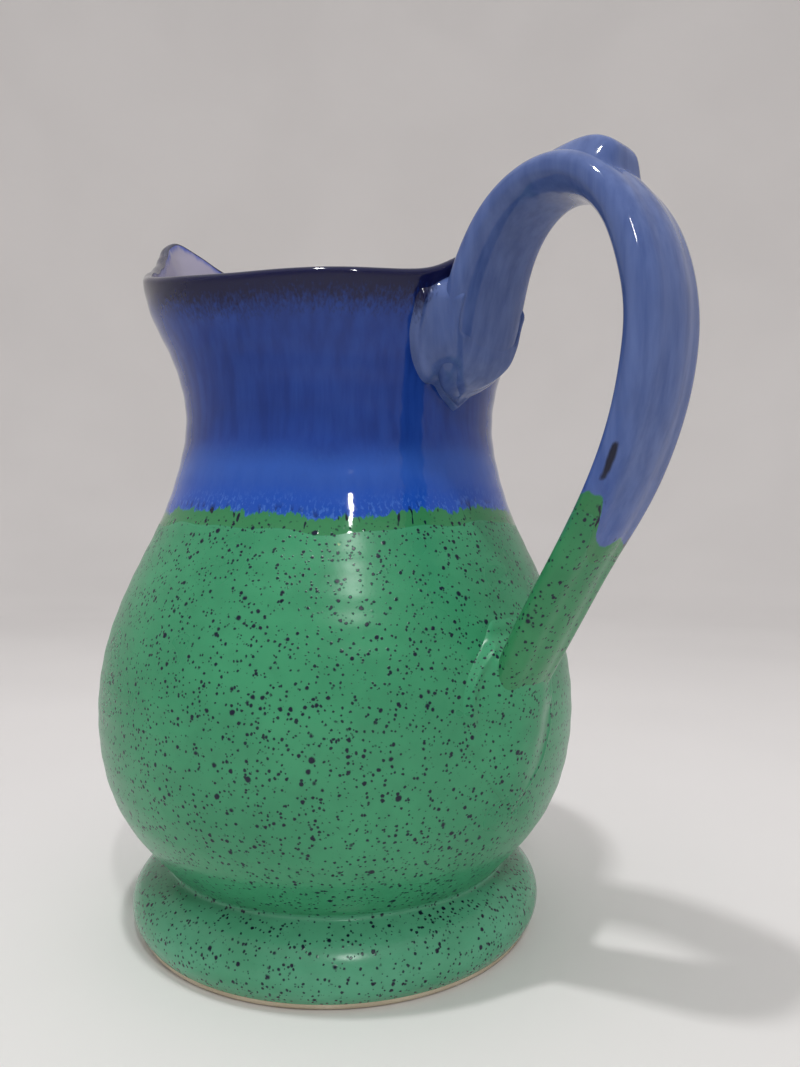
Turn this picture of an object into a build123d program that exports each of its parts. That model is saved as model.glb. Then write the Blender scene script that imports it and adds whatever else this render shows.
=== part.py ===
"""Hand-built stoneware pitcher with a swept-up spout, a strap handle and a flared foot.

Millimetres, +Z up. The origin is the centre of the ring that the foot stands on. The handle
leaves towards +X and the spout points towards -X, a few degrees round towards -Y.
"""
import os
from math import copysign, cos, exp, hypot, pi, radians, sin

from build123d import *

os.makedirs("parts", exist_ok=True)

# ---- thicknesses ----
GLAZE = 0.4                 # fired glaze coat
WALL = 5.4                  # thrown wall with its glaze, measured level
CLAY_INNER = WALL - GLAZE   # depth at which the clay ends and the inside glaze begins

# ---- heights and radii of the thrown body, on the outside of the glaze ----
WAIST_Z, WAIST_R = 22.8, 60.4           # crease between the foot and the belly
SHOULDER_Z, SHOULDER_R = 146.0, 63.8    # seam of belly and neck, where green meets blue
NECK_Z, NECK_R = 177.0, 56.4            # narrowest place
RIM_Z, RIM_R = 217.2, 67.2
BELLY_POINTS = [(WAIST_R, WAIST_Z), (74.4, 39), (84.0, 63.3), (85.3, 79.5), (81.8, 103.8),
                (72.1, 128.2), (SHOULDER_R, SHOULDER_Z)]
NECK_SECTIONS = [(SHOULDER_Z, SHOULDER_R), (153, 61.3), (161, 59.0), (169, 57.3), (NECK_Z, NECK_R),
                 (185, 56.8), (193, 58.2), (204, 61.7), (RIM_Z, RIM_R), (230, RIM_R), (242, RIM_R),
                 (254, RIM_R), (266, RIM_R), (278, RIM_R)]

# ---- foot ----
FOOT_R, FOOT_EDGE_Z = 73.6, 9.6         # widest place of the rolled edge
RING_OUT_R, RING_IN_R = 70.0, 64.0      # ring that touches the table
BARE_Z = 2.2                            # clay is left bare below this height
RECESS_R, RECESS_Z = 52.0, 15.0         # hollow under the floor of the pot
FLOOR_Z, COVE_Z, COVE_END_R = 25.0, 38.0, 46.0

# ---- spout ----
SPOUT_ANGLE = 186.0                     # direction of the spout, counted from the handle
SPOUT_START_Z, SPOUT_TIP_Z = 182.0, 268.0
SPOUT_REACH = 38.0                      # how far the tip stands out from the round rim
BEAK_BLUNT, BEAK_WIDTH = 12.0, 19.5     # degrees
BEAK_THINNING = 0.55                    # share of the wall that pulling the tip out took away
RIM_SWEEP_R, RIM_SWEEP_START = 185.0, -22.0
RING_TURNS = [-180, -140, -105, -75, -50, -30, -14, 0, 14, 30, 50, 75, 105, 140]
RING_AT = [turn + 180 for turn in RING_TURNS] + [360]

# ---- handle: centreline in the XZ plane, then width and thickness at the same stations ----
STRAP_PATH = [(55.0, 181), (65.6, 197), (74.6, 226.8), (93.2, 241.7), (114, 234.7), (127.4, 211.9),
              (128.5, 184.3), (119, 155), (103, 127.4), (84.8, 97.5), (76.5, 84)]
STRAP_WIDTHS = [24, 32, 28, 26, 28, 30.5, 30.5, 29.5, 27, 24, 22]
STRAP_THICKS = [7, 12, 12, 11.8, 12, 12.6, 12, 10.4, 10, 10.4, 9]
STRAP_SQUARE = 0.77                     # power that squares the oval section
STRAP_GLAZE_Z = 141.0                   # blue above, green below
TOP_PAD_RISE, TAIL_RISE = 3.5, 2.6      # how proud the pressed-on clay stands of the wall
TOP_PAD_LEAF = [(23, 222), (21, 204), (13, 192), (0, 183.5), (-13, 187), (-21, 203), (-23, 222)]
TAIL_LEAF = [(0, 116), (-13, 110), (-22, 92), (-18, 74), (0, 63), (17, 75), (22, 92), (13, 110)]
THUMB_X, THUMB_Z, THUMB_R = 106.5, 244.0, 8.5
THUMB_W, THUMB_ROUND = 22.0, 5.0        # the thumb rest's width across the strap


def wall_outline(outer_inset, inner_inset):
    """Close the strip of belly wall between two level insets from the outer surface."""
    outer = [(r - outer_inset, z) for r, z in BELLY_POINTS]
    inner = [(r - inner_inset, z) for r, z in BELLY_POINTS]
    Spline(*outer)
    Line(outer[-1], inner[-1])
    Spline(*inner)
    Line(inner[0], outer[0])


def belly_solid(inset):
    """Solid of revolution that the belly fills out to the given inset."""
    with BuildPart() as solid:
        with BuildSketch(Plane.XZ):
            with BuildLine():
                line = Spline(*[(r - inset, z) for r, z in BELLY_POINTS])
                Polyline(line @ 1, (0, SHOULDER_Z), (0, WAIST_Z), line @ 0)
            make_face()
        revolve(axis=Axis.Z)
    return solid.part


def neck_solid(inset):
    """Solid that the neck and the spout fill out to the given inset, up past the lip."""
    with BuildPart() as solid:
        for z, radius in NECK_SECTIONS:
            lift = max(0.0, (z - SPOUT_START_Z) / (SPOUT_TIP_Z - SPOUT_START_Z))
            ring = []
            for turn in RING_TURNS:
                beak = exp((BEAK_BLUNT - hypot(turn, BEAK_BLUNT)) / BEAK_WIDTH)
                angle = radians(SPOUT_ANGLE + turn)
                r = radius + SPOUT_REACH * lift**1.2 * beak - inset * (1 - BEAK_THINNING * lift * beak)
                ring.append((r * cos(angle), r * sin(angle)))
            with BuildSketch(Plane.XY.offset(z)):
                with BuildLine():
                    add(Edge.make_spline(ring, periodic=True, parameters=[t / 360 for t in RING_AT]))
                make_face()
        loft()
    return solid.part


def above_rim():
    """Space above the rim line, which is level at the handle and sweeps up to the spout."""
    along = Vector(cos(radians(SPOUT_ANGLE)), sin(radians(SPOUT_ANGLE)), 0)
    with BuildPart() as space:
        with BuildSketch(Plane((0, 0, 0), x_dir=along, z_dir=along.cross(Vector(0, 0, 1)))):
            with BuildLine():
                sweep_up = CenterArc((RIM_SWEEP_START, RIM_Z + RIM_SWEEP_R), RIM_SWEEP_R, 270, 48)
                Polyline(sweep_up @ 1, (140, 320), (-140, 320), (-140, RIM_Z), sweep_up @ 0)
            make_face()
        extrude(amount=140, both=True)
    return space.part


def strap_solid(inset):
    """Loft of the strap handle, its ends run on into the wall."""
    with BuildLine() as path:
        line = Spline(*[(x, 0, z) for x, z in STRAP_PATH])
    stations = [line.param_at_point(Vector(x, 0, z)) for x, z in STRAP_PATH]
    with BuildPart() as solid:
        for at, width, thick in zip(stations, STRAP_WIDTHS, STRAP_THICKS):
            ring = []
            for step in range(12):
                across, through = cos(step * pi / 6), sin(step * pi / 6)
                ring.append(((width / 2 - inset) * copysign(abs(across)**STRAP_SQUARE, across),
                             (thick / 2 - inset) * copysign(abs(through)**STRAP_SQUARE, through)))
            with BuildSketch(Plane(line @ at, x_dir=(0, 1, 0), z_dir=line % at)):
                with BuildLine():
                    add(Edge.make_spline(ring, periodic=True, parameters=[s / 12 for s in range(13)]))
                make_face()
        loft()
    return solid.part


def leaf_solid(points, start_x, end_x):
    """Prism along +X with a leaf outline given as (y, z) points."""
    with BuildPart() as solid:
        with BuildSketch(Plane.YZ.offset(start_x)):
            with BuildLine():
                Spline(*points, periodic=True)
            make_face()
        extrude(amount=end_x - start_x)
    return solid.part


def roll_curve(skin):
    """Outline of the foot's rolled edge, from the waist down to the bare ring."""
    return Spline((WAIST_R - GLAZE + skin, WAIST_Z), (FOOT_R - GLAZE + skin, FOOT_EDGE_Z),
                  (RING_OUT_R + skin, BARE_Z), tangents=((0.85, -0.53), (-0.4, -1)))


def floor_fill(rise):
    """Clay and glaze that fill the bottom of the belly up to the floor and its cove."""
    with BuildPart() as solid:
        with BuildSketch(Plane.XZ):
            with BuildLine():
                cove = ThreePointArc((COVE_END_R, FLOOR_Z + rise), (60, FLOOR_Z + 4.2 + rise),
                                     (70, COVE_Z + rise))
                Polyline(cove @ 1, (80, COVE_Z + rise), (80, WAIST_Z), (0, WAIST_Z),
                         (0, FLOOR_Z + rise), cove @ 0)
            make_face()
        revolve(axis=Axis.Z)
        add(belly_lining, mode=Mode.INTERSECT)
    return solid.part


def save(part, label):
    """Name a finished piece and write it."""
    part.label = label
    export_step(part, f"parts/{label}.step")


# ---- shapes shared by several pieces ----
belly_full, belly_lining = belly_solid(0), belly_solid(CLAY_INNER)
neck_full, neck_clay = neck_solid(0), neck_solid(GLAZE)
neck_lining, neck_hollow = neck_solid(CLAY_INNER), neck_solid(WALL)
over_rim = above_rim()
strap_full, strap_clay = strap_solid(0), strap_solid(GLAZE)

# the spout's clay fills a V cut down the front of the neck
with BuildPart() as spout_vee:
    front = Vector(cos(radians(SPOUT_ANGLE)), sin(radians(SPOUT_ANGLE)), 0)
    with BuildSketch(Plane((0, 0, 0), x_dir=Vector(0, 0, 1).cross(front), z_dir=front)):
        with BuildLine():
            Polyline((0, 186), (58, 226), (58, 320), (-58, 320), (-58, 226), (0, 186))
        make_face()
    extrude(amount=160)

# ---- foot ring: thrown flared foot, hollow inside ----
with BuildPart() as foot_ring:
    with BuildSketch(Plane.XZ):
        with BuildLine():
            roll = roll_curve(0)
            Polyline(roll @ 1, (RING_OUT_R - 1, 0), (RING_IN_R + 1, 0), (RING_IN_R, 1))
            Spline((RING_IN_R, 1), (57, 9.5), (RECESS_R, RECESS_Z))
            Polyline((RECESS_R, RECESS_Z), (RECESS_R, WAIST_Z), roll @ 0)
        make_face()
    revolve(axis=Axis.Z)
save(foot_ring.part, "foot_ring")

# ---- base disc: floor of the pot, with a cove up the wall ----
floor_clay = floor_fill(0)
with BuildPart() as base_disc:
    with BuildSketch(Plane.XY.offset(RECESS_Z)):
        Circle(RECESS_R)
    extrude(amount=WAIST_Z - RECESS_Z)
    add(floor_clay)
save(base_disc.part, "base_disc")

# ---- belly wall: the thrown bulb ----
with BuildPart() as belly_wall:
    with BuildSketch(Plane.XZ):
        with BuildLine():
            wall_outline(GLAZE, CLAY_INNER)
        make_face()
    revolve(axis=Axis.Z)
save(belly_wall.part, "belly_wall")

# ---- neck and spout: one shell, parted along the V ----
with BuildPart() as upper_clay:
    add(neck_clay)
    add(neck_lining, mode=Mode.SUBTRACT)
    add(over_rim, mode=Mode.SUBTRACT)

with BuildPart() as neck_wall:
    add(upper_clay.part)
    add(spout_vee.part, mode=Mode.SUBTRACT)
save(neck_wall.part, "neck_wall")

with BuildPart() as spout:
    add(upper_clay.part)
    add(spout_vee.part, mode=Mode.INTERSECT)
save(spout.part, "spout")

# ---- handle ----
with BuildPart() as handle_strap:
    add(strap_clay)
    add([belly_full, neck_full], mode=Mode.SUBTRACT)
save(handle_strap.part, "handle_strap")

with BuildPart() as handle_top_pad:
    add(neck_solid(-TOP_PAD_RISE))
    add(leaf_solid(TOP_PAD_LEAF, 30, 90), mode=Mode.INTERSECT)
    add([neck_full, over_rim, strap_full], mode=Mode.SUBTRACT)
save(handle_top_pad.part, "handle_top_pad")

with BuildPart() as handle_tail:
    add(belly_solid(-TAIL_RISE))
    add(leaf_solid(TAIL_LEAF, 30, 110), mode=Mode.INTERSECT)
    add([belly_full, strap_full], mode=Mode.SUBTRACT)
save(handle_tail.part, "handle_tail")

with BuildPart() as thumb_rest:
    with BuildSketch(Plane.XZ):
        with Locations((THUMB_X, THUMB_Z)):
            Circle(THUMB_R)
    extrude(amount=THUMB_W / 2, both=True)
    fillet(thumb_rest.edges().filter_by(GeomType.CIRCLE), THUMB_ROUND)
    add(strap_full, mode=Mode.SUBTRACT)
save(thumb_rest.part, "thumb_rest")

# ---- glaze coats on the outside ----
with BuildPart() as foot_glaze:
    with BuildSketch(Plane.XZ):
        with BuildLine():
            outside, inside = roll_curve(GLAZE), roll_curve(0)
            Line(outside @ 0, inside @ 0)
            Line(outside @ 1, inside @ 1)
        make_face()
    revolve(axis=Axis.Z)
save(foot_glaze.part, "foot_glaze")

with BuildPart() as belly_glaze:
    with BuildSketch(Plane.XZ):
        with BuildLine():
            wall_outline(0, GLAZE)
        make_face()
    revolve(axis=Axis.Z)
save(belly_glaze.part, "belly_glaze")

with BuildPart() as neck_glaze:
    add(neck_full)
    add(neck_clay, mode=Mode.SUBTRACT)
    add(over_rim, mode=Mode.SUBTRACT)
save(neck_glaze.part, "neck_glaze")

# ---- glaze coats on the inside ----
with BuildPart() as inside_belly_glaze:
    add(belly_lining)
    add([floor_clay, belly_solid(WALL)], mode=Mode.SUBTRACT)
    add(floor_fill(GLAZE))
    add(floor_clay, mode=Mode.SUBTRACT)
save(inside_belly_glaze.part, "inside_belly_glaze")

with BuildPart() as inside_neck_glaze:
    add(neck_lining)
    add(neck_hollow, mode=Mode.SUBTRACT)
    add(over_rim, mode=Mode.SUBTRACT)
save(inside_neck_glaze.part, "inside_neck_glaze")

# ---- glaze sleeves on the handle, blue above green ----
with BuildPart() as strap_skin:
    add(strap_full)
    add([strap_clay, belly_full, neck_full], mode=Mode.SUBTRACT)

with BuildPart() as handle_blue_glaze:
    add(strap_skin.part)
    split(bisect_by=Plane.XY.offset(STRAP_GLAZE_Z), keep=Keep.TOP)
save(handle_blue_glaze.part, "handle_blue_glaze")

with BuildPart() as handle_green_glaze:
    add(strap_skin.part)
    split(bisect_by=Plane.XY.offset(STRAP_GLAZE_Z), keep=Keep.BOTTOM)
save(handle_green_glaze.part, "handle_green_glaze")
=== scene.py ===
"""Looks of the glazed stoneware pitcher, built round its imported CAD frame.

The thrown body is one grid of rows and columns, cut into the foot, belly, neck, spout and lining
pieces, so their shading runs on across the seams. The strap handle is swept along its centreline,
and the pressed-on clay and the thumb rest are patches laid over the wall and the strap.
Lengths are in millimetres until a mesh is made, which puts them in metres.
"""
import math

import bpy
import numpy as np
from mathutils import Matrix, Vector


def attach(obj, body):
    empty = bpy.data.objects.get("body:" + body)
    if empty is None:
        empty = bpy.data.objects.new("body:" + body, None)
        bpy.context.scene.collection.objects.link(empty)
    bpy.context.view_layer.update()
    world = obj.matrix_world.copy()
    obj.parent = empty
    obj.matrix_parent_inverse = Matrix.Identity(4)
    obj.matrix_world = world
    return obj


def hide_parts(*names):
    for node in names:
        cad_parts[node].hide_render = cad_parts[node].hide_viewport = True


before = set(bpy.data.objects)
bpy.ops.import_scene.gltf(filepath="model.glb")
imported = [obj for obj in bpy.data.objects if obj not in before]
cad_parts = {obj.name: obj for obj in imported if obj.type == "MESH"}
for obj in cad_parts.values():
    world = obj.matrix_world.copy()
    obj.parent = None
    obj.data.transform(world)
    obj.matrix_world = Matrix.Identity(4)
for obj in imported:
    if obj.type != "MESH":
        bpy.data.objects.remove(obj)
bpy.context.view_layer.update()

MM = 0.001
COLUMNS = 400

# ---- shape of the thrown body, in (radius, height) points close to the CAD model's up to the rim ----
FOOT_ROLL = [(70.2, 2.0), (72.5, 5.2), (73.6, 9.8), (72.4, 14.6), (68.8, 18.7), (64.0, 21.5),
             (61.0, 23.0)]
WALL = [(60.7, 22.8), (74.4, 39), (84.0, 63.3), (85.3, 79.5), (81.8, 103.8), (72.1, 128.2), (63.8, 146),
        (59.0, 161), (56.4, 177), (58.2, 193), (61.7, 204), (67.2, 217.2), (69.4, 230), (69.6, 250),
        (69.6, 285)]
CREASE_Z = 23.0
STRETCH_Z = 177.0                 # above this the rows stretch up to the lip
SEAM_Z = 146.0
RIM_Z, RIM_SWEEP_R, RIM_SWEEP_START = 215.6, 185.0, -22.0
SPOUT_ANGLE, SPOUT_START_Z, SPOUT_TIP_Z, SPOUT_REACH = 186.0, 182.0, 268.0, 37.0
BEAK_BLUNT, BEAK_WIDTH = 12.0, 19.5
LIP_HALF = 2.1                    # half the thickness of the lip
WALL_THICK = 5.4
FLOOR_Z = 25.4
COAT_THICK, BODY_THICK = 0.35, 2.0    # depth of a glaze-only mesh, and of one for glaze and clay
STRAP_THICK, PATCH_THICK = 1.2, 0.9
ALL_BLUE, FAR_FROM_LIP = 40.0, 60.0   # point values well past the glaze line and the lip's dark band

# ---- handle centreline (x, z), with width, thickness ----
STRAP = [(56.8, 183.5, 8, 2.0), (59.2, 186.6, 18, 4.6), (62.3, 190.8, 25, 8.6), (65.4, 197.4, 30, 11.8),
         (68.6, 209, 33.5, 12.6), (74.6, 225.5, 31, 12), (83.0, 236.5, 28, 11.8), (93.5, 241.6, 26, 11.8),
         (104.5, 240.6, 26, 11.9), (114.5, 234.5, 27.5, 12), (122.5, 224.5, 29.5, 12.4),
         (127.6, 211.5, 30.5, 12.6), (129.8, 198, 30.5, 12.4), (128.5, 183.5, 30.5, 12),
         (125, 169, 30.2, 11.2), (119.2, 154.8, 29.5, 10.6), (111.4, 141, 28.4, 10.2),
         (103, 127.4, 27.4, 10.2), (94, 112.6, 26.2, 10.4), (86.3, 98.8, 25.5, 9.8), (80.2, 86.5, 24, 7.6),
         (76.5, 77, 22, 5)]


def cubic(xs, ys):
    """Natural cubic spline through the points, as a function."""
    xs, ys = np.asarray(xs, float), np.asarray(ys, float)
    h = np.diff(xs)
    n = len(xs)
    a = np.eye(n)
    b = np.zeros(n)
    for i in range(1, n - 1):
        a[i, i - 1:i + 2] = h[i - 1], 2 * (h[i - 1] + h[i]), h[i]
        b[i] = 6 * ((ys[i + 1] - ys[i]) / h[i] - (ys[i] - ys[i - 1]) / h[i - 1])
    m = np.linalg.solve(a, b)

    def value(x):
        x = np.asarray(x, float)
        i = np.clip(np.searchsorted(xs, x) - 1, 0, n - 2)
        t, s = x - xs[i], xs[i + 1] - x
        return ((m[i] * s**3 + m[i + 1] * t**3) / (6 * h[i]) + (ys[i] / h[i] - m[i] * h[i] / 6) * s
                + (ys[i + 1] / h[i] - m[i + 1] * h[i] / 6) * t)
    return value


def along_points(points, step):
    """Samples about step apart on a smooth curve through points of any number of columns."""
    pts = np.asarray(points, float)
    at = np.r_[0, np.cumsum(np.hypot(*np.diff(pts[:, :2], axis=0).T))]
    s = np.linspace(0, at[-1], int(at[-1] / step) + 1)
    return np.stack([cubic(at, column)(s) for column in pts.T], 1)


def smooth(t):
    """0 below 0, 1 above 1, and an even S between."""
    t = np.clip(t, 0, 1)
    return t * t * t * (t * (6 * t - 15) + 10)


wall_radius = cubic([z for _, z in WALL], [r for r, _ in WALL])
turn = np.arange(COLUMNS) * 360 / COLUMNS
theta = np.radians(turn)


def from_angle(angle):
    """Signed degrees of each column from a direction."""
    return (turn - angle + 180) % 360 - 180


from_spout, from_handle = from_angle(SPOUT_ANGLE), from_angle(0)
beak = np.exp((BEAK_BLUNT - np.hypot(from_spout, BEAK_BLUNT)) / BEAK_WIDTH)


def wobble(z, columns):
    """Faint throwing rings that climb as a spiral, and a hand's unevenness."""
    rings = 0.07 * np.sin(2 * np.pi * (z / 8.5 + columns / 360)) * smooth((z - 26) / 20)
    return rings + 0.22 * np.sin(np.radians(2 * columns + 40) + z / 60) * smooth((z - 30) / 60)


def radius(z, columns=None, lean=None):
    """Outside radius of the body at a height, the spout included."""
    columns = turn if columns is None else columns
    lean = beak if lean is None else lean
    lift = np.clip((z - SPOUT_START_Z) / (SPOUT_TIP_Z - SPOUT_START_Z), 0, None)
    return wall_radius(z) + SPOUT_REACH * lift**1.2 * lean + wobble(z, columns)


def handle_lift(turned_by):
    """How much the lip rises to meet the handle, some degrees round from it."""
    return 7.0 * np.exp(-(turned_by / 11)**2) + 3.5 * np.exp(-(turned_by / 20)**2)


def lip_height():
    """Height of the lip's outer edge for each column: level, swept up at the spout and handle."""
    low, high = np.full(COLUMNS, 200.0), np.full(COLUMNS, 284.0)
    for _ in range(40):
        mid = (low + high) / 2
        front = radius(mid) * np.cos(np.radians(from_spout)) - RIM_SWEEP_START
        arc = RIM_Z + RIM_SWEEP_R - np.sqrt(RIM_SWEEP_R**2 - np.clip(front, 0, 150)**2)
        low, high = np.where(mid < arc, mid, low), np.where(mid < arc, high, mid)
    return low + handle_lift(from_handle) + 0.35 * np.sin(3 * theta + 1) + 0.2 * np.sin(7 * theta)


def row_points(r, z):
    return np.stack([r * np.cos(theta), r * np.sin(theta), z + 0 * r], -1)


# ---- rows of the body, from the foot up the outside and down the inside ----
foot = along_points(FOOT_ROLL, 0.7)
crease = np.array([[60.95, CREASE_Z + 0.5]])
belly_z = np.arange(CREASE_Z + 1.2, STRETCH_Z, 0.9)
belly_rz = np.stack([wall_radius(belly_z), belly_z], 1)
section = np.concatenate([foot, crease, belly_rz])
for _ in range(6):                # rounds the crease a little
    near = np.abs(section[:, 1] - CREASE_Z) < 3.0
    near[0] = near[-1] = False
    soft = section.copy()
    soft[1:-1] = (section[:-2] + 2 * section[1:-1] + section[2:]) / 4
    section[near] = soft[near]
extra = wobble(section[:, 1][:, None], turn[None])
lower = np.stack([row_points(r + e, np.full(COLUMNS, z)) for (r, z), e in zip(section, extra)])

lip_z = lip_height()
LIFT_ROWS = 64
upper = []
for step in range(LIFT_ROWS + 1):
    z = STRETCH_Z + (lip_z - STRETCH_Z) * step / LIFT_ROWS
    upper.append(row_points(radius(z), z))
outer = np.concatenate([lower, np.stack(upper)])


def grid_normals(grid):
    """Unit normals of a grid whose columns close, pointing out of a body wound this way."""
    down = np.gradient(grid, axis=0)
    across = np.roll(grid, -1, 1) - np.roll(grid, 1, 1)
    n = np.cross(across, down)
    return n / np.maximum(np.linalg.norm(n, axis=-1, keepdims=True), 1e-9)


outer_n = grid_normals(outer)
outer_up = np.gradient(outer, axis=0)
outer_up /= np.linalg.norm(outer_up, axis=-1, keepdims=True)

LIP_ROWS = 14
lip = []
for step in range(1, LIP_ROWS):
    phi = math.pi * step / LIP_ROWS
    centre = outer[-1] - LIP_HALF * outer_n[-1]
    lip.append(centre + LIP_HALF * (math.cos(phi) * outer_n[-1] + math.sin(phi) * outer_up[-1]))
lip = np.stack(lip)

inside_from = int(np.argmax(section[:, 1] > 42))
inner = []
for i in range(len(outer) - 1, inside_from, -1):
    below = np.linalg.norm(outer[-1] - outer[i], axis=-1)
    thick = 2 * LIP_HALF + (WALL_THICK - 2 * LIP_HALF) * smooth(below / 45)
    inner.append(outer[i] - thick[:, None] * outer_n[i])
inner = np.stack(inner)
bottom_r = np.hypot(inner[-1, :, 0], inner[-1, :, 1]).mean()
bottom_z = inner[-1, :, 2].mean()
cove = along_points([(bottom_r, bottom_z), (bottom_r - 4.6, bottom_z - 7), (bottom_r - 12, 27.5),
                     (bottom_r - 22, FLOOR_Z), (30, FLOOR_Z), (12, FLOOR_Z + 0.3),
                     (0.6, FLOOR_Z + 0.5)], 1.4)
floor_rows = np.stack([row_points(np.full(COLUMNS, r), np.full(COLUMNS, z)) for r, z in cove[1:]])
body = np.concatenate([outer, lip, inner, floor_rows])
body_n = grid_normals(body)

LIP_TOP = len(outer) + LIP_ROWS // 2     # rows where the lip is highest and where the lining starts
LIP_IN = len(outer) + LIP_ROWS - 1
foot_rows = len(foot) + 1
seam_row = int(np.argmin(np.abs(section[:, 1] - SEAM_Z)))
blue_line = (147.6 + 2.0 * np.sin(theta - 0.5) + 0.8 * np.sin(3 * theta + 0.7) + 0.7 * np.sin(5 * theta + 2)
             + 0.45 * np.sin(11 * theta) + 0.35 * np.sin(19 * theta + 1))
lip_drop = np.linalg.norm(body - body[LIP_TOP], axis=-1)


def new_piece(name, verts, faces, normals, facts, nodes):
    """Mesh object in metres with its own normals and named values on its points."""
    mesh = bpy.data.meshes.new(name)
    mesh.from_pydata((verts * MM).tolist(), [], faces)
    mesh.polygons.foreach_set("use_smooth", [True] * len(mesh.polygons))
    for fact, values in facts.items():
        mesh.attributes.new(fact, "FLOAT", "POINT").data.foreach_set("value", values.astype(np.float32))
    mesh.validate()
    mesh.normals_split_custom_set_from_vertices(normals.tolist())
    piece = bpy.data.objects.new(name, mesh)
    bpy.context.scene.collection.objects.link(piece)
    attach(piece, "root")
    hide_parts(*nodes)
    return piece


def shell(name, verts, quads, normals, facts, thick, nodes):
    """Closed piece: the given surface, a copy of it thick below, and walls round its edges."""
    quads = np.asarray(quads)
    used, flat = np.unique(quads, return_inverse=True)
    quads = flat.reshape(quads.shape)
    top, n = verts[used], normals[used]
    under = top - thick * n
    count = len(used)
    sides = np.stack([quads, np.roll(quads, -1, 1)], -1).reshape(-1, 2)
    key = np.sort(sides, 1)
    _, where, times = np.unique(key, axis=0, return_index=True, return_counts=True)
    rim = sides[where[times == 1]]
    walls = np.stack([rim[:, 1], rim[:, 0], rim[:, 0] + count, rim[:, 1] + count], 1)
    faces = np.concatenate([quads, quads[:, ::-1] + count, walls])
    doubled = {fact: np.tile(values[used], 2) for fact, values in facts.items()}
    return new_piece(name, np.concatenate([top, under]), faces.tolist(), np.concatenate([n, -n]),
                     doubled, nodes)


def grid_quads(rows, columns, closed):
    """Quads of a grid, wound so that they face out."""
    last = columns if closed else columns - 1
    i, j = np.meshgrid(np.arange(rows - 1), np.arange(last), indexing="ij")
    k = (j + 1) % columns
    return np.stack([i * columns + j, i * columns + k, (i + 1) * columns + k, (i + 1) * columns + j], -1)


body_quads = grid_quads(len(body), COLUMNS, True)
body_facts = {"blue_edge": (body[..., 2] - blue_line).ravel(), "lip_drop": lip_drop.ravel()}
body_flat, body_n_flat = body.reshape(-1, 3), body_n.reshape(-1, 3)


def body_piece(name, quads, thick, nodes):
    return shell(name, body_flat, quads.reshape(-1, 4), body_n_flat, body_facts, thick, nodes)


in_front = np.cos(np.radians(from_spout))
side_way = np.sin(np.radians(from_spout))
corner_r = np.hypot(body[..., 0], body[..., 1])
vee = (body[..., 2] > 186 + 40 / 58 * np.abs(corner_r * side_way)) & (in_front > 0)
upper_quads = body_quads[seam_row:LIP_IN]
is_spout = vee[seam_row:LIP_IN]

foot_coat = body_piece("foot_coat", body_quads[:foot_rows], COAT_THICK, ["foot_glaze"])
belly_coat = body_piece("belly_coat", body_quads[foot_rows:seam_row], BODY_THICK,
                        ["belly_glaze", "belly_wall"])
neck_body = body_piece("neck_body", upper_quads[~is_spout], BODY_THICK,
                       ["neck_glaze", "neck_wall"])
spout_body = body_piece("spout_body", upper_quads[is_spout], BODY_THICK, ["spout"])
lining = body_piece("lining_coat", body_quads[LIP_IN:], COAT_THICK,
                    ["inside_neck_glaze", "inside_belly_glaze"])

# ---- clay of the foot: recess, bare standing ring and the edge that the glaze stops at ----
BARE_FACE = [(52, 15), (53.5, 13.6), (57.2, 9.5), (61, 4.8), (63.6, 1.6), (64.8, 0.35), (66.2, 0),
             (68.2, 0), (69.4, 0.3), (70.1, 1.1), (70.35, 2.2), (70.2, 3.0)]
UNDER_GLAZE = [(69, 5), (66, 12), (60, 18), (52, 18)]
ring_rz = np.concatenate([UNDER_GLAZE[-1:], along_points(BARE_FACE, 0.35), UNDER_GLAZE])[::-1]
ring = np.stack([row_points(np.full(COLUMNS, r), np.full(COLUMNS, max(z, 0.0))) for r, z in ring_rz])
foot_clay = new_piece("foot_clay", ring.reshape(-1, 3),
                      grid_quads(len(ring), COLUMNS, True)[..., ::-1].reshape(-1, 4).tolist(),
                      -grid_normals(ring).reshape(-1, 3), {}, ["foot_ring"])


# ---- strap handle ----
AROUND = 72
strap_line = along_points(STRAP, 0.8)
centre_xz, strap_w, strap_t = strap_line[:, :2], strap_line[:, 2], strap_line[:, 3]
tangent = np.gradient(centre_xz, axis=0)
tangent /= np.linalg.norm(tangent, axis=1, keepdims=True)
out_xz = np.stack([-tangent[:, 1], tangent[:, 0]], 1)      # away from the finger gap
phi = np.arange(AROUND) * 2 * np.pi / AROUND
SQUARE = 0.80
side = np.sign(np.cos(phi)) * np.abs(np.cos(phi))**SQUARE
face = np.sign(np.sin(phi)) * np.abs(np.sin(phi))**SQUARE
length = np.linspace(0, 1, len(strap_line))


def strap_surface():
    """Points of the strap: y runs across it, the crowned face is away from the fingers."""
    middle = smooth((length - 0.22) / 0.1) * smooth((0.97 - length) / 0.1)
    ridge = 0.20 * np.exp(-((np.abs(side) - 0.72) / 0.16)**2) * (face > 0)
    valley = -0.28 * np.exp(-((np.abs(side) - 0.42) / 0.22)**2) * (face > 0)
    crown = 0.25 * np.exp(-(side / 0.32)**2) * (face > 0)
    through = strap_t[:, None] / 2 * face + middle[:, None] * (ridge + valley + crown)
    ripple = 0.10 * np.sin(length[:, None] * 46 + side * 0.8) + 0.12 * np.sin(length[:, None] * 19 + 2)
    through = through + ripple * (face > 0)
    y = (strap_w[:, None] / 2 + 0.15 * np.sin(length[:, None] * 31)) * side
    x = centre_xz[:, :1] + through * out_xz[:, :1]
    z = centre_xz[:, 1:] + through * out_xz[:, 1:]
    return np.stack([x, y + 0 * x, z], -1)


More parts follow.
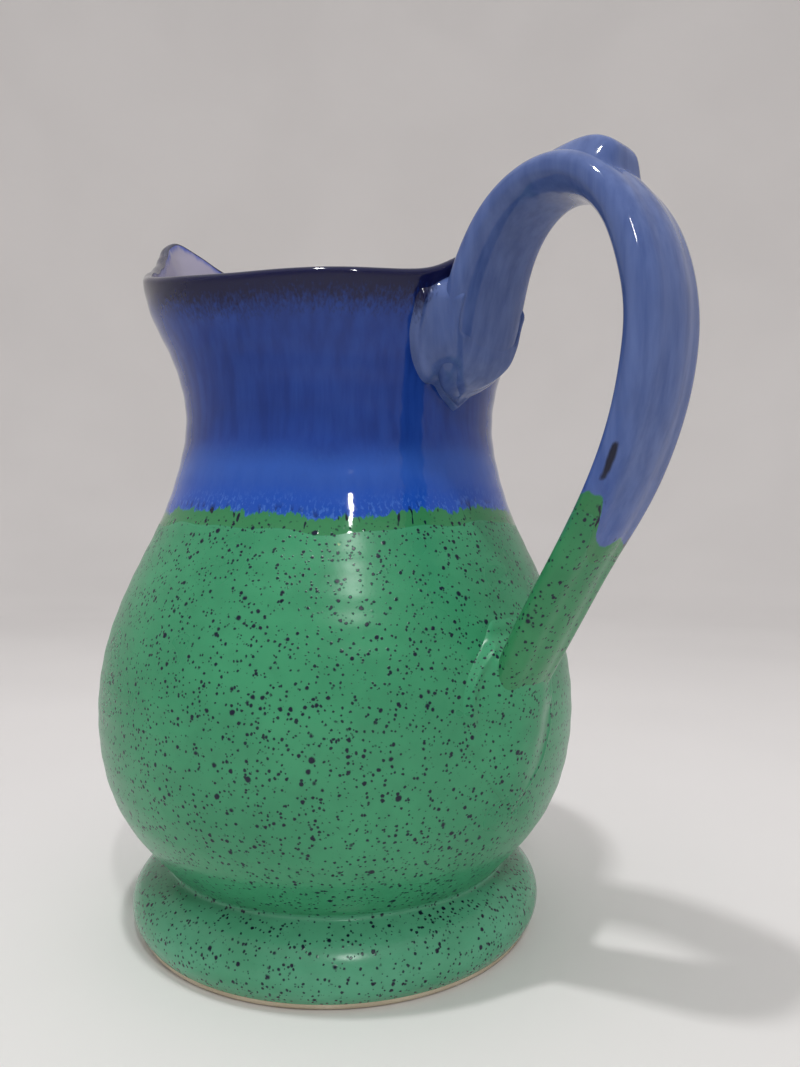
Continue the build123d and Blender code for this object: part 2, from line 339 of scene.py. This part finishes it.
strap = strap_surface()
strap_n = -grid_normals(strap)
from_centre = strap - np.stack([centre_xz[:, 0], 0 * length, centre_xz[:, 1]], 1)[:, None]
if (strap_n * from_centre).sum() < 0:
    strap_n = -strap_n
outward_side = np.maximum(face, 0)[None] + 0 * length[:, None]
near_side = smooth((-side[None] - 0.55) / 0.4) + 0 * length[:, None]
under_side = np.maximum(-face, 0)[None] + 0 * length[:, None]
strap_edge_z = 141 - 3.5 * outward_side + 11 * near_side - 2.5 * under_side + 1.2 * np.sin(side * 7)[None]
coming_down = length[:, None] > 0.6
strap_z = strap[..., 2]
strap_edge = np.where(coming_down, strap_z - strap_edge_z, ALL_BLUE)
streak = np.exp(-((phi - 2.85) / 0.20)**2) * smooth((strap_z - 152) / 3) * smooth((166 - strap_z) / 4)
streak = streak * coming_down
strap_facts = {"blue_edge": strap_edge.ravel(), "lip_drop": np.full(strap_edge.size, FAR_FROM_LIP),
               "streak": streak.ravel()}
strap_quads = grid_quads(len(strap), AROUND, True)
flow = np.cross(strap[1, 0] - strap[0, 0], strap[0, 1] - strap[0, 0])
if (flow * strap_n[0, 0]).sum() > 0:
    strap_quads = strap_quads[..., ::-1]
split_row = int(np.argmax((length > 0.6) & (centre_xz[:, 1] < 141)))
handle_upper = shell("handle_upper", strap.reshape(-1, 3), strap_quads[:split_row].reshape(-1, 4),
                     strap_n.reshape(-1, 3), strap_facts, STRAP_THICK,
                     ["handle_blue_glaze", "handle_strap"])
handle_lower = shell("handle_lower", strap.reshape(-1, 3), strap_quads[split_row:].reshape(-1, 4),
                     strap_n.reshape(-1, 3), strap_facts, STRAP_THICK, ["handle_green_glaze"])


def patch(name, base, normal, height, facts, nodes):
    """Clay laid on a surface: a grid of points raised by height and sunk where height is below 0."""
    raised = base + height[..., None] * normal
    rows, columns = height.shape
    n = np.cross(np.gradient(raised, axis=0), np.gradient(raised, axis=1))
    n /= np.linalg.norm(n, axis=-1, keepdims=True)
    quads = grid_quads(rows, columns, False)
    if (n * normal).sum() < 0:
        n = -n
    else:
        quads = quads[..., ::-1]
    keep = (height.ravel()[quads.reshape(-1, 4)] > -0.55).any(1)
    return shell(name, raised.reshape(-1, 3), quads.reshape(-1, 4)[keep], n.reshape(-1, 3), facts,
                 PATCH_THICK, nodes)


def wall_patch(y_half, z_low, z_high, step=0.45):
    """Grid on the body's outside at the handle, its outward normals and its y and z."""
    ys = np.arange(-y_half, y_half + step, step)
    zs = np.arange(z_low, z_high, step)
    z, y = np.meshgrid(zs, ys, indexing="ij")
    r = wall_radius(z)
    for _ in range(3):
        angle = np.arcsin(np.clip(y / r, -1, 1))
        r = wall_radius(z) + wobble(z, np.degrees(angle) % 360)
    slope = (wall_radius(z + 0.5) - wall_radius(z - 0.5))
    normal = np.stack([np.cos(angle), np.sin(angle), -slope], -1)
    normal /= np.linalg.norm(normal, axis=-1, keepdims=True)
    return np.stack([r * np.cos(angle), y, z], -1), normal, y, z


def strap_height(z, turned, part):
    """How far a face of one end of the strap stands off the wall; turned picks the face."""
    face_x = (centre_xz[:, 0] + turned * strap_t / 2 * out_xz[:, 0])[part]
    face_z = (centre_xz[:, 1] + turned * strap_t / 2 * out_xz[:, 1])[part]
    order = np.argsort(face_z)
    return np.interp(z, face_z[order], face_x[order]) - wall_radius(z)


def soft_max(a, b, reach=1.3):
    """The larger of two heights, rounded where they meet."""
    return reach * np.logaddexp(a / reach, b / reach)


# top pad: the strap's end pressed on the neck as a leaf with lobes, a stepped edge and a dished middle
base, normal, y, z = wall_patch(30, 177, 224)
lobes = (1.2 * np.exp(-((y + 15) / 4)**2) - 1.6 * np.exp(-((y + 9) / 2.5)**2)
         + 0.6 * np.exp(-((y + 1) / 5)**2) - 1.2 * np.exp(-((y - 12) / 6)**2))
half = cubic([177, 182.2, 186, 191, 198, 206, 218, 224], [-4, 4.0, 10.5, 16, 20, 21.8, 23, 24])
inside = (half(z + lobes) - np.abs(y)) * 0.8
tongue = np.interp(z, [182, 186, 190, 196, 205, 224], [0.8, 1.9, 2.8, 3.6, 4.4, 5.0])
rise = soft_max(strap_height(z, -1, length < 0.3) - 0.7, tongue)
buried = smooth((z - 203) / 9) * smooth((13 - np.abs(y)) / 4)
mound = smooth((y + 22.5) / 11) * smooth((21 - y) / 7) * smooth(inside / 8) * (1 - buried)
height = -0.7 + 2.4 * smooth((inside + 0.8) / 2.6) + (rise - 1.4) * mound
height += 0.45 * np.exp(-((inside - 1.6) / 1.1)**2) - 0.8 * np.exp(-((inside - 4.8) / 2.2)**2) * (y < 0)
turned_by = np.degrees(np.arcsin(np.clip(y / 67, -1, 1)))
rim_here = RIM_Z + handle_lift(turned_by)
sunk = smooth((z - rim_here + 7.5) / 7)
height = height * (1 - sunk) - 1.5 * sunk
below_lip = rim_here - z + 12 * smooth((y + 22) / 8)
facts = {"blue_edge": np.full(height.size, ALL_BLUE), "lip_drop": below_lip.ravel()}
top_pad = patch("top_pad", base, normal, height, facts, ["handle_top_pad"])

# tail: the strap's lower end smeared into the belly, with a fold on one side and a step on the other
base, normal, y, z = wall_patch(33, 52, 118)
left = cubic([52, 60, 68, 76, 85, 94, 101, 106, 112, 118], [1, 8, 16, 21.5, 23.5, 22.5, 18.5, 14, 10, 7])
right_side = cubic([52, 61, 66, 74, 82, 92, 100, 108, 112, 118], [0.5, 4, 9, 14, 16.5, 17, 16.5, 14, 11, 7])
inside = np.where(y < 0, left(z) + y, right_side(z) - y)
swell = np.interp(z, [52, 60, 66, 72, 79, 86, 92, 118], [0, 0.5, 1.2, 2.1, 3.1, 4.0, 4.6, 5.0])
rise = soft_max(strap_height(z, 1, length > 0.85) - 0.8, swell) * smooth((108 - z) / 9)
middle_y = 0.10 * (z - 92) * (z < 92)
across = np.abs(y - middle_y) / np.interp(z, [60, 75, 95, 110], [7.0, 10.0, 13.2, 12.5])
fillet = 3.4 * np.exp(-np.clip(np.abs(y) - 12.0, 0, None) / 3.0)
fillet = fillet * smooth((z - 82) / 10) * smooth((112 - z) / 10)
height = -0.6 + 0.8 * smooth((inside + 1.0) / 4)
height += soft_max(rise * np.exp(-across**3.0), fillet, 0.6) * smooth((inside + 1) / 5)
height += 1.1 * np.exp(-((inside - 2.4) / 1.8)**2) * (y < 0) * smooth((z - 80) / 10) * smooth((108 - z) / 5)
height += 0.9 * np.exp(-((inside - 1.2) / 1.1)**2) * (y > 0) * smooth((z - 58) / 6) * smooth((104 - z) / 8)
height -= 0.9 * smooth((z - 110) / 6) + 0.9 * smooth((58 - z) / 5)
facts = {"blue_edge": (z - 148).ravel(), "lip_drop": np.full(height.size, FAR_FROM_LIP)}
tail_pad = patch("tail_pad", base, normal, height, facts, ["handle_tail"])

# thumb rest: a soft bump on the crown, steep at its back
THUMB_RISE, THUMB_AT = 5.2, 4.5
crown_row = int(np.argmin(np.abs(centre_xz[:, 0] - 105) + 100 * (centre_xz[:, 1] < 225)))
rows = np.arange(crown_row - 30, crown_row + 30)
us = np.linspace(-0.97, 0.97, 71)
cap = np.sqrt(np.clip(1 - np.abs(us)**2.5, 0, 1))**0.8
row_mid = np.stack([centre_xz[rows, 0], 0 * rows, centre_xz[rows, 1]], 1)[:, None]
row_out = np.stack([out_xz[rows, 0], 0 * rows, out_xz[rows, 1]], 1)[:, None]
base = row_mid + row_out * (strap_t[rows] / 2)[:, None, None] * cap[None, :, None]
base = base + np.array([0, 1, 0]) * (strap_w[rows] / 2)[:, None, None] * us[None, :, None]
normal = row_out + 0 * base
s = (rows - crown_row)[:, None] * 0.8 - THUMB_AT
bump = np.exp(-(np.minimum(s, 0) / 10.5)**2) * np.exp(-(np.maximum(s, 0) / 6.6)**4)
height = -0.7 + (THUMB_RISE + 0.7) * bump * (1 - smooth((np.abs(us)[None] - 0.30) / 0.66))
facts = {"blue_edge": np.full(height.size, ALL_BLUE), "lip_drop": np.full(height.size, FAR_FROM_LIP)}
thumb = patch("thumb_rest_bump", base, normal, height, facts, ["thumb_rest"])


# ---- materials ----
class Graph:
    """A material and short ways to add and join its nodes."""

    def __init__(self, name):
        self.material = bpy.data.materials.new(name)
        self.material.use_nodes = True
        self.tree = self.material.node_tree
        self.tree.nodes.clear()
        self.place = self.add("TexCoord").outputs["Object"]

    def add(self, kind, *values, **settings):
        node = self.tree.nodes.new("ShaderNode" + kind)
        for key, value in settings.items():
            setattr(node, key, value)
        for socket, value in zip(node.inputs, values):
            self.plug(socket, value)
        return node

    def plug(self, socket, value):
        if isinstance(value, bpy.types.NodeSocket):
            self.tree.links.new(value, socket)
        elif value is not None:
            socket.default_value = (*value, 1) if socket.type == "RGBA" else value

    def math(self, operation, a, b=0.0, clamp=False):
        return self.add("Math", a, b, operation=operation, use_clamp=clamp).outputs[0]

    def fact(self, name):
        return self.add("Attribute", attribute_name=name).outputs["Fac"]

    def stretched(self, x, y, z):
        return self.add("VectorMath", self.place, (x, y, z), operation="MULTIPLY").outputs[0]

    def noise(self, where, scale, detail=2.0, rough=0.5):
        return self.add("TexNoise", where, None, scale, detail, rough).outputs["Fac"]

    def step(self, value, low, high, start=0.0, end=1.0):
        """Smooth step from start at low to end at high."""
        ramp = self.add("MapRange", value, low, high, start, end, interpolation_type="SMOOTHSTEP")
        return ramp.outputs[0]

    def mix(self, share, a, b):
        node = self.add("Mix", data_type="RGBA")
        for socket, value in zip((node.inputs[0], node.inputs[6], node.inputs[7]), (share, a, b)):
            self.plug(socket, value)
        return node.outputs[2]

    def specks(self, scale, largest, chosen, spread, wander):
        """Round specks: one in each chosen cell, none wider than largest (in metres)."""
        cells = self.add("TexVoronoi", wander, None, scale)
        luck = self.add("SeparateColor", cells.outputs["Color"]).outputs[0]
        radius = self.add("MapRange", luck, self.math("SUBTRACT", chosen, spread), 1.0, 0.0,
                          largest / 2 * scale).outputs[0]
        gap = self.math("SUBTRACT", radius, cells.outputs["Distance"])
        return self.math("MULTIPLY", gap, 1 / (0.16 * largest * scale), clamp=True)

    def finish(self, colour, roughness, bumps, **constants):
        shader = self.add("BsdfPrincipled")
        self.plug(shader.inputs["Base Color"], colour)
        self.plug(shader.inputs["Roughness"], roughness)
        normal = None
        for height, strength, distance in bumps:
            bump = self.add("Bump")
            inputs = {"Strength": strength, "Distance": distance, "Height": height, "Normal": normal}
            for key, value in inputs.items():
                self.plug(bump.inputs[key], value)
            normal = bump.outputs[0]
        if normal is not None:
            self.plug(shader.inputs["Normal"], normal)
        for key, value in constants.items():
            self.plug(shader.inputs[key.replace("_", " ")], value)
        self.tree.links.new(shader.outputs[0], self.add("OutputMaterial").inputs[0])
        return self.material


NAVY = (0.0035, 0.006, 0.026)         # specks, runs and the handle's streak
LIP_NAVY = (0.005, 0.006, 0.045)
PAINTED_LIT_BAND_BLUE, LINE_BLUE = (0.034, 0.120, 0.50), (0.006, 0.065, 0.42)   # lighter band is painted light, the lit lower neck below the rim's shadow; deep lower edge
FLECK_BLUE = (0.10, 0.27, 0.68)
OVERLAP_GREEN, PALE_GREEN = (0.034, 0.205, 0.072), (0.42, 0.52, 0.20)
NECK_BLUES = (0.007, 0.036, 0.235), (0.015, 0.062, 0.33)


def outside_glaze(name, blue_dark, blue_light, green_dark, green_light, satin, ragged_edge=1.0):
    """Blue over green, with the runs between them, the dark lip and the navy specks."""
    g = Graph(name)
    edge, drop = g.fact("blue_edge"), g.fact("lip_drop")
    clouds = g.noise(g.place, 26, 3)
    runs = g.noise(g.stretched(1, 1, 0.10), 300, 3, 0.55)
    grain = g.noise(g.stretched(1, 1, 0.40), 1100, 2, 0.6)

    ragged = g.math("ADD", edge, g.math("MULTIPLY", g.math("SUBTRACT", runs, 0.5), 6.0 * ragged_edge))
    ragged = g.math("ADD", ragged, g.math("MULTIPLY", g.math("SUBTRACT", grain, 0.5), 3.0 * ragged_edge))
    is_blue = g.step(ragged, -0.35, 0.45)
    overlap = g.step(g.math("ADD", edge, g.math("MULTIPLY", clouds, 1.2)), -4.3, -3.9)
    drips = g.noise(g.stretched(1, 1, 0.05), 520, 1)
    drip = g.math("ADD", drips, g.math("MULTIPLY", edge, 0.022))
    drip = g.step(drip, 0.62, 0.67)
    drip = g.math("MULTIPLY", drip, g.step(edge, -6.5, -4.5))
    drip = g.math("MULTIPLY", drip, g.step(edge, 3.5, 0.0))

    blue = g.mix(g.step(runs, 0.25, 0.75), blue_dark, blue_light)
    blue = g.mix(g.step(clouds, 0.35, 0.75, 0, 0.45), blue, tuple(0.72 * c for c in blue_dark))
    # painted light: lighter blue from about 14 to 24 mm above the glaze line, standing in for the direct
    # light below the rim's shadow
    blue = g.mix(g.step(ragged, 24.0, 14.0, 0, 0.6 * ragged_edge), blue, PAINTED_LIT_BAND_BLUE)
    blue = g.mix(g.step(ragged, 13.0, 3.0, 0, 0.75 * ragged_edge), blue, LINE_BLUE)
    flecks = g.math("MULTIPLY", g.step(grain, 0.50, 0.66), g.step(ragged, 9.0, 0.5))
    blue = g.mix(g.math("MULTIPLY", flecks, 0.35 * ragged_edge), blue, FLECK_BLUE)
    mottled = g.math("ADD", drop, g.math("MULTIPLY", g.math("SUBTRACT", grain, 0.5), 14.0))
    mottled = g.math("ADD", mottled, g.math("MULTIPLY", g.math("SUBTRACT", clouds, 0.5), 5.0))
    blue = g.mix(g.step(mottled, 15.0, 5.0), blue, LIP_NAVY)

    green = g.mix(g.step(clouds, 0.3, 0.7), green_dark, green_light)
    mottle = g.step(g.noise(g.place, 170, 3), 0.4, 0.8, 0, 0.25)
    green = g.mix(mottle, green, tuple(0.75 * c for c in green_dark))
    green = g.mix(g.math("MULTIPLY", overlap, 0.85), green, OVERLAP_GREEN)

    shake = g.add("TexNoise", g.place, None, 900, 1).outputs["Color"]
    shake = g.add("VectorMath", shake, (0.0006, 0.0006, 0.0006), operation="MULTIPLY").outputs[0]
    wander = g.add("VectorMath", g.place, shake, operation="ADD").outputs[0]
    thick = g.step(g.noise(g.place, 38, 2), 0.30, 0.70, -0.10, 0.16)
    big = g.specks(215, 0.0023, 0.25, thick, wander)
    middle = g.specks(430, 0.0016, -0.15, thick, wander)
    fine = g.specks(700, 0.0012, -0.30, thick, wander)
    dots = g.math("MAXIMUM", g.math("MAXIMUM", big, middle), g.math("MULTIPLY", fine, 0.95))
    dots = g.math("MULTIPLY", dots, g.step(edge, -1.0, -3.5))
    pale = g.specks(95, 0.0016, 0.90, 0.0, wander)
    green = g.mix(g.math("MULTIPLY", pale, 0.6), green, PALE_GREEN)
    green = g.mix(g.math("MAXIMUM", dots, drip), green, NAVY)

    streak = g.step(g.math("ADD", g.fact("streak"), g.math("MULTIPLY", runs, 0.9)), 0.85, 1.35)
    dark_runs = g.math("MAXIMUM", g.math("MULTIPLY", drip, 0.6), streak)
    colour = g.mix(is_blue, green, g.mix(dark_runs, blue, NAVY))
    gloss = g.math("MAXIMUM", is_blue, overlap)
    rough = g.math("SUBTRACT", satin, g.math("MULTIPLY", gloss, satin - 0.055))
    rough = g.math("ADD", rough, g.math("MULTIPLY", g.math("SUBTRACT", clouds, 0.5), 0.05))
    peel = g.math("ADD", g.noise(g.place, 420, 2), g.math("MULTIPLY", g.noise(g.place, 90, 1), 1.5))
    return g.finish(colour, rough, [(peel, 0.35, 0.00006), (dots, 0.5, 0.00012)], IOR=1.5,
                    Specular_IOR_Level=0.36)


body_glaze = outside_glaze("body_glaze", *NECK_BLUES,
                           (0.038, 0.265, 0.125), (0.052, 0.325, 0.155), 0.28)
foot_glaze = outside_glaze("foot_glaze", *NECK_BLUES,
                           (0.066, 0.310, 0.165), (0.094, 0.380, 0.222), 0.22)
handle_glaze = outside_glaze("handle_glaze", (0.062, 0.105, 0.29), (0.105, 0.160, 0.38),
                             (0.029, 0.215, 0.085), (0.041, 0.262, 0.105), 0.28, ragged_edge=0.2)


def lining_glaze():
    """Pale glossy glaze of the inside, clouded where it pooled and blue near the lip."""
    g = Graph("inner_glaze")
    clouds = g.noise(g.place, 40, 3)
    colour = g.mix(g.step(clouds, 0.3, 0.7), (0.225, 0.21, 0.305), (0.29, 0.27, 0.365))
    runs = g.noise(g.stretched(1, 1, 0.15), 300, 3)
    drop = g.math("ADD", g.fact("lip_drop"), g.math("MULTIPLY", runs, 6.0))
    colour = g.mix(g.step(drop, 9.0, 5.0), colour, (0.05, 0.08, 0.34))
    specks = g.specks(160, 0.0010, 0.86, 0.0, g.place)
    colour = g.mix(g.math("MULTIPLY", specks, 0.7), colour, (0.12, 0.13, 0.22))
    peel = g.noise(g.place, 300, 2)
    return g.finish(colour, g.step(clouds, 0.2, 0.8, 0.07, 0.13), [(peel, 0.3, 0.00008)], IOR=1.52)


def bare_clay():
    """Cream stoneware, rubbed smooth where it stands, with iron grains."""
    g = Graph("bare_clay")
    clouds = g.noise(g.place, 60, 4)
    grit = g.noise(g.place, 1500, 2)
    colour = g.mix(g.step(clouds, 0.3, 0.7), (0.50, 0.42, 0.30), (0.64, 0.56, 0.43))
    colour = g.mix(g.step(grit, 0.55, 0.8, 0, 0.4), colour, (0.40, 0.32, 0.22))
    iron = g.specks(260, 0.0008, 0.70, 0.0, g.place)
    colour = g.mix(g.math("MULTIPLY", iron, 0.75), colour, (0.16, 0.09, 0.05))
    return g.finish(colour, g.step(grit, 0.3, 0.7, 0.70, 0.88),
                    [(clouds, 0.3, 0.0004), (grit, 0.5, 0.00015)], IOR=1.45)


def dress(material, *pieces):
    for piece in pieces:
        piece.data.materials.clear()
        piece.data.materials.append(material)


dress(body_glaze, belly_coat, neck_body, spout_body, tail_pad)
dress(foot_glaze, foot_coat)
dress(handle_glaze, handle_upper, handle_lower, top_pad, thumb)
dress(lining_glaze(), lining)
dress(bare_clay(), foot_clay, *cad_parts.values())


# ---- camera, level with the belly's top and fairly wide ----
scene = bpy.context.scene
eye = Vector((0.23678, -0.20009, 0.14145))
ahead = Vector((-0.71533, 0.69874, -0.00785)).normalized()
level = ahead.cross(Vector((0, 0, 1))).normalized()
tilt = math.radians(0.373)
right = math.cos(tilt) * level + math.sin(tilt) * level.cross(ahead)
up = right.cross(ahead)
lens = bpy.data.cameras.new("camera")
lens.lens, lens.sensor_width, lens.clip_start = 27.81, 36.0, 0.01
camera = bpy.data.objects.new("camera", lens)
camera.matrix_world = Matrix((right, up, -ahead)).transposed().to_4x4()
camera.location = eye
scene.collection.objects.link(camera)
scene.camera = camera
scene.view_settings.view_transform = "Standard"


# ---- floor that curves up into a pale surround ----
def surround():
    """Shallow bowl: flat floor, then a wide sweep up."""
    floor_r, sweep_r, turns = 1.1, 0.9, 96
    line = [(0.15, 0.0), (0.4, 0.0), (0.8, 0.0)]
    line += [(floor_r + sweep_r * math.sin(a), sweep_r * (1 - math.cos(a)))
             for a in np.linspace(0, math.radians(88), 25)]
    line += [(line[-1][0] + 0.02, line[-1][1] + 1.3)]
    verts = [(r * math.cos(t), r * math.sin(t), z) for r, z in line
             for t in np.arange(turns) * 2 * math.pi / turns]
    quads = grid_quads(len(line), turns, True)[..., ::-1].reshape(-1, 4)
    faces = [*quads.tolist(), list(range(turns))]
    mesh = bpy.data.meshes.new("surround")
    mesh.from_pydata(verts, [], faces)
    mesh.polygons.foreach_set("use_smooth", [True] * len(mesh.polygons))
    floor = bpy.data.objects.new("surround", mesh)
    scene.collection.objects.link(floor)
    g = Graph("paper")
    tone = g.step(g.noise(g.place, 3, 2), 0.3, 0.7)
    tint = g.mix(tone, (0.81, 0.79, 0.785), (0.84, 0.82, 0.815))
    g.finish(tint, 0.75, [(g.noise(g.place, 400, 2), 0.1, 0.0002)])
    mesh.materials.append(g.material)
    return floor


surround()


def lamp(name, at, aim, size, power, height=None):
    """Area light at a point, facing another."""
    data = bpy.data.lights.new(name, "AREA")
    data.energy, data.size = power, size
    if height:
        data.shape, data.size_y = "RECTANGLE", height
    light = bpy.data.objects.new(name, data)
    light.location = at
    light.rotation_euler = (Vector(aim) - Vector(at)).to_track_quat("-Z", "Y").to_euler()
    scene.collection.objects.link(light)


lamp("overhead", (0.09, -0.245, 0.98), (0, 0, 0.1), 0.045, 3.0)
key = -ahead * 1.15 + right * 0.235 + Vector((0, 0, 1.3))
lamp("key", key, (0, 0, 0.12), 0.05, 5.5, height=0.30)

world = bpy.data.worlds.new("room")
scene.world = world
world.use_nodes = True
tree = world.node_tree
tree.nodes.clear()
coord = tree.nodes.new("ShaderNodeTexCoord")
split = tree.nodes.new("ShaderNodeSeparateXYZ")
fade = tree.nodes.new("ShaderNodeMapRange")
fade.inputs["From Min"].default_value, fade.inputs["From Max"].default_value = 0.2, 1.0
fade.inputs["To Min"].default_value, fade.inputs["To Max"].default_value = 0.58, 0.70
back = tree.nodes.new("ShaderNodeBackground")
back.inputs["Color"].default_value = (1.0, 0.985, 0.975, 1)
out = tree.nodes.new("ShaderNodeOutputWorld")
tree.links.new(coord.outputs["Generated"], split.inputs[0])
tree.links.new(split.outputs["Z"], fade.inputs["Value"])
tree.links.new(fade.outputs[0], back.inputs["Strength"])
tree.links.new(back.outputs[0], out.inputs[0])
